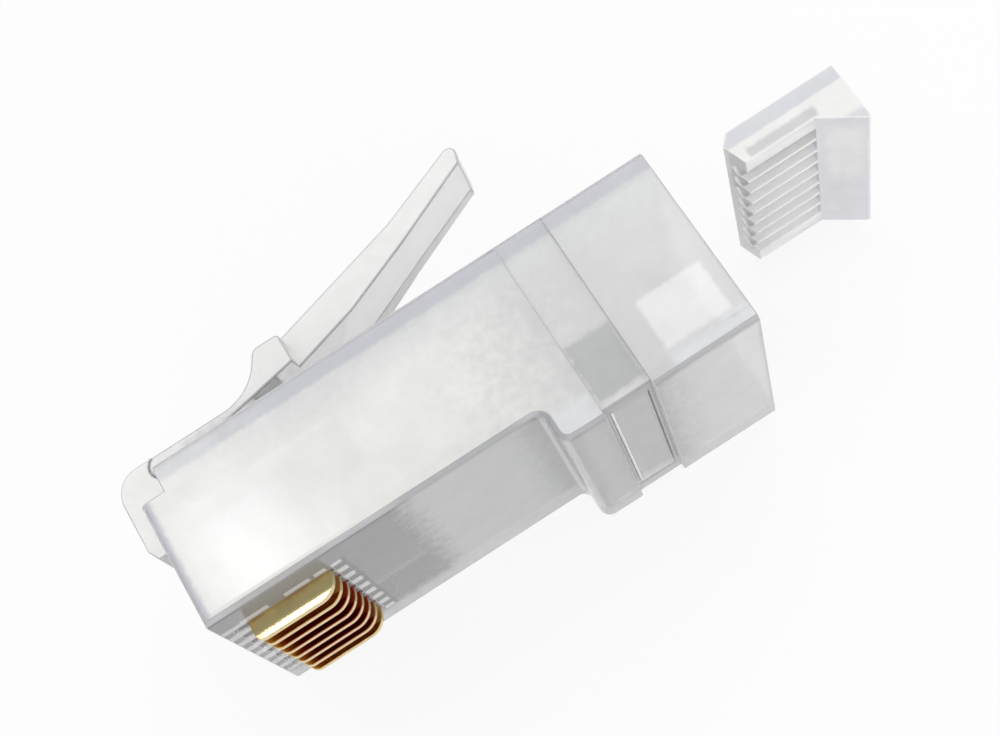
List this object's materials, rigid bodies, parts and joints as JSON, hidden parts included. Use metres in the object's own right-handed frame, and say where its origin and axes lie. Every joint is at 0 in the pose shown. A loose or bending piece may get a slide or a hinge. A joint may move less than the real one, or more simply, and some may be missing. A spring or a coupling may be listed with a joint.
{
  "type": "modular plug with load bar",
  "caption": "Clear eight-way modular network plug lying on its flank, with sprung latch, gold-plated contacts and a separate grooved load bar drawn out behind it.",
  "frame": {"origin": "centre of the nose face of the housing, mid-way up the front part and mid-way across its width", "axes": "+X from the nose to the cable entry, +Y from the contact side to the latch side, +Z across the width, upwards as the plug lies on its far flank"},
  "size_m": [0.032, 0.0148, 0.0116],
  "materials": {
    "clear_plastic": "clear, slightly milky moulding",
    "gold_contact": "gold plated"
  },
  "bodies": {
    "plug": {"housing": "clear_plastic"},
    "latch_lever": {"latch": "clear_plastic"},
    "load_bar_body": {"load_bar": "clear_plastic"},
    "relief_block": {"strain_relief": "clear_plastic"},
    "blade_1": {"contact_1": "gold_contact"},
    "blade_2": {"contact_2": "gold_contact"},
    "blade_3": {"contact_3": "gold_contact"},
    "blade_4": {"contact_4": "gold_contact"},
    "blade_5": {"contact_5": "gold_contact"},
    "blade_6": {"contact_6": "gold_contact"},
    "blade_7": {"contact_7": "gold_contact"},
    "blade_8": {"contact_8": "gold_contact"}
  },
  "joints": [
    {"name": "latch_press", "type": "hinge", "parent": "plug", "child": "latch_lever", "pos_m": [0.0009, 0.00435, 0], "axis": [0, 0, -1], "range_deg": [0, 14], "stiffness_Nm_per_rad": 0.05},
    {"name": "load_bar_insert", "type": "slide", "parent": "plug", "child": "load_bar_body", "axis": [-1, 0, 0], "range_m": [0, 0.0175]},
    {"name": "strain_relief_fold", "type": "hinge", "parent": "plug", "child": "relief_block", "pos_m": [0.01663, -0.00433, 0], "axis": [0, 0, 1], "range_deg": [0, 30]},
    {"name": "contact_1_crimp", "type": "slide", "parent": "plug", "child": "blade_1", "axis": [0, 1, 0], "range_m": [0, 0.00145]},
    {"name": "contact_2_crimp", "type": "slide", "parent": "plug", "child": "blade_2", "axis": [0, 1, 0], "range_m": [0, 0.00145]},
    {"name": "contact_3_crimp", "type": "slide", "parent": "plug", "child": "blade_3", "axis": [0, 1, 0], "range_m": [0, 0.00145]},
    {"name": "contact_4_crimp", "type": "slide", "parent": "plug", "child": "blade_4", "axis": [0, 1, 0], "range_m": [0, 0.00145]},
    {"name": "contact_5_crimp", "type": "slide", "parent": "plug", "child": "blade_5", "axis": [0, 1, 0], "range_m": [0, 0.00145]},
    {"name": "contact_6_crimp", "type": "slide", "parent": "plug", "child": "blade_6", "axis": [0, 1, 0], "range_m": [0, 0.00145]},
    {"name": "contact_7_crimp", "type": "slide", "parent": "plug", "child": "blade_7", "axis": [0, 1, 0], "range_m": [0, 0.00145]},
    {"name": "contact_8_crimp", "type": "slide", "parent": "plug", "child": "blade_8", "axis": [0, 1, 0], "range_m": [0, 0.00145]}
  ],
  "couplings": [
    {"joint": "contact_2_crimp", "follows": "contact_1_crimp", "ratio": 1},
    {"joint": "contact_3_crimp", "follows": "contact_1_crimp", "ratio": 1},
    {"joint": "contact_4_crimp", "follows": "contact_1_crimp", "ratio": 1},
    {"joint": "contact_5_crimp", "follows": "contact_1_crimp", "ratio": 1},
    {"joint": "contact_6_crimp", "follows": "contact_1_crimp", "ratio": 1},
    {"joint": "contact_7_crimp", "follows": "contact_1_crimp", "ratio": 1},
    {"joint": "contact_8_crimp", "follows": "contact_1_crimp", "ratio": 1}
  ]
}
